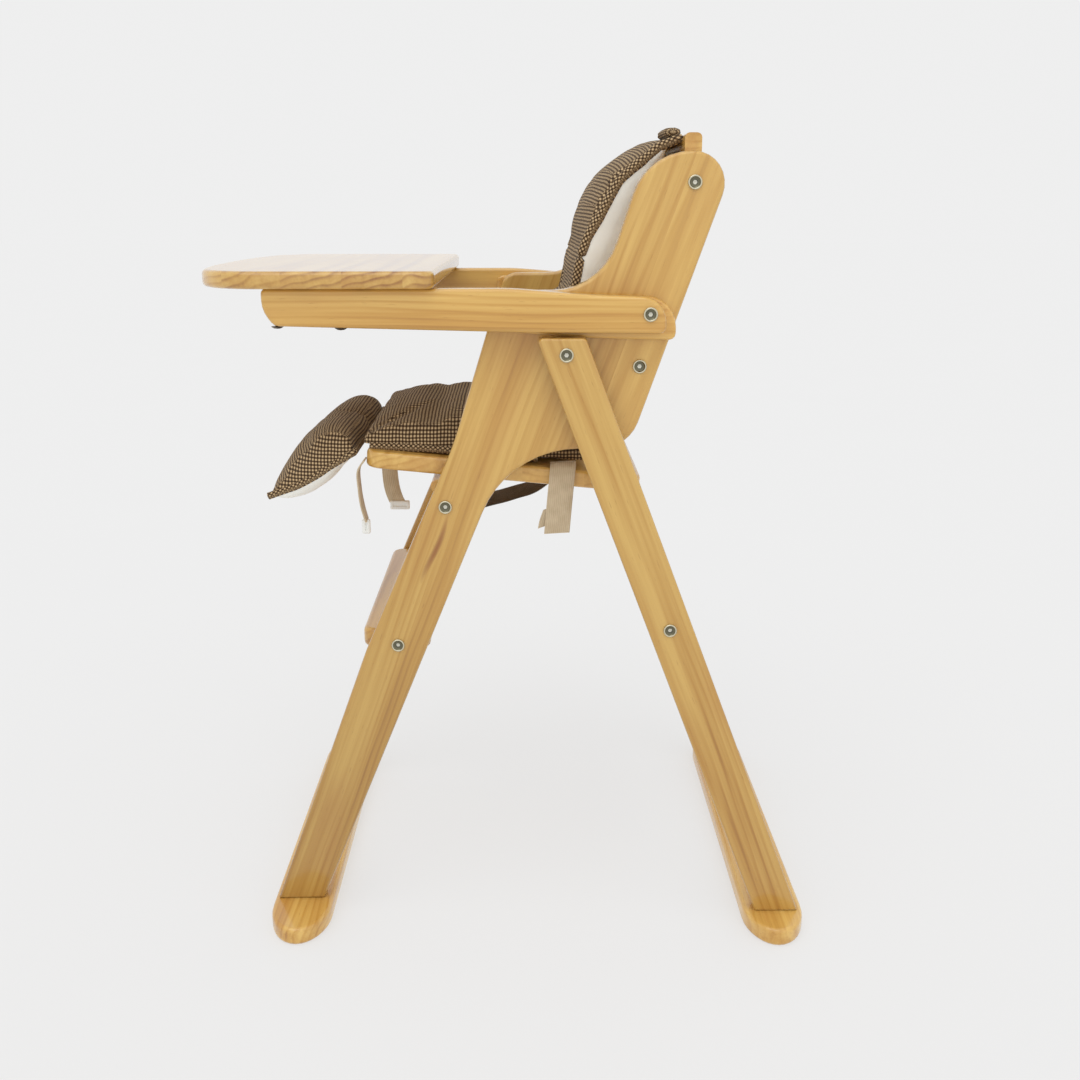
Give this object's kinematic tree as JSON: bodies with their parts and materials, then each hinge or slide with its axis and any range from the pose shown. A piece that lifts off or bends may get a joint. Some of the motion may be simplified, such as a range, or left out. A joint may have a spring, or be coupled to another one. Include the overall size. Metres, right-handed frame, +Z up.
{
  "type": "baby high chair",
  "caption": "Folding wooden baby high chair: side panels on a front floor bar, folding rear legs, flip-over tray on arms, footrest and padded check cushion.",
  "frame": {"origin": "on the floor under the middle of the chair's width and length", "axes": "+Z up, +X towards the seated child's left, the child faces -Y"},
  "size_m": [0.53, 0.69, 0.9184],
  "materials": {
    "pine": "clear lacquered pine, semi-gloss",
    "bolt_metal": "pale nickel",
    "screw_metal": "dark",
    "nylon": "matte",
    "check_fabric": "woven small check",
    "dark_webbing": "woven",
    "webbing": "woven webbing",
    "white_plastic": "smooth"
  },
  "bodies": {
    "frame": {"side_panel_left": "pine", "side_panel_right": "pine", "front_floor_bar": "pine", "seat_board": "pine", "seat_front_rail": "pine", "footrest": "pine", "back_board_upper": "pine", "back_board_lower": "pine", "leg_spacer_left": "nylon", "leg_spacer_right": "nylon", "back_upper_bolt_left": "bolt_metal", "back_upper_bolt_right": "bolt_metal", "back_lower_bolt_left": "bolt_metal", "back_lower_bolt_right": "bolt_metal", "seat_rail_bolt_left": "bolt_metal", "seat_rail_bolt_right": "bolt_metal", "footrest_bolt_left": "bolt_metal", "footrest_bolt_right": "bolt_metal", "leg_pivot_bolt_left": "bolt_metal", "leg_pivot_bolt_right": "bolt_metal", "seat_cushion": "check_fabric", "back_cushion": "check_fabric", "leg_flap_cushion": "check_fabric", "limit_strap": "dark_webbing", "buckle_strap": "webbing", "waist_buckle": "white_plastic", "adjuster_strap": "webbing", "strap_adjuster": "white_plastic", "rear_strap": "webbing"},
    "rear_legs": {"rear_leg_left": "pine", "rear_leg_right": "pine", "rear_floor_bar": "pine", "rear_cross_rail": "pine", "rear_rail_bolt_left": "bolt_metal", "rear_rail_bolt_right": "bolt_metal"},
    "armrests": {"armrest_rail_left": "pine", "armrest_rail_right": "pine", "arm_pivot_bolt_left": "bolt_metal", "arm_pivot_bolt_right": "bolt_metal", "arm_bush_left": "nylon", "arm_bush_right": "nylon"},
    "tray_frame": {"tray_arm_left": "pine", "tray_arm_right": "pine", "tray": "pine", "tray_screw_front_left": "screw_metal", "tray_screw_front_right": "screw_metal", "tray_screw_rear_left": "screw_metal", "tray_screw_rear_right": "screw_metal"}
  },
  "joints": [
    {"name": "leg_fold", "type": "hinge", "parent": "frame", "child": "rear_legs", "pos_m": [0, 0.054, 0.691], "axis": [-1, 0, 0], "range_deg": [0, 38]},
    {"name": "armrest_lift", "type": "hinge", "parent": "frame", "child": "armrests", "pos_m": [0, 0.141, 0.733], "axis": [-1, 0, 0], "range_deg": [0, 20]},
    {"name": "tray_flip", "type": "hinge", "parent": "armrests", "child": "tray_frame", "pos_m": [0, 0.141, 0.733], "axis": [-1, 0, 0], "range_deg": [0, 165]}
  ],
  "couplings": [
    {"joint": "armrest_lift", "follows": "leg_fold", "ratio": 0.5}
  ]
}
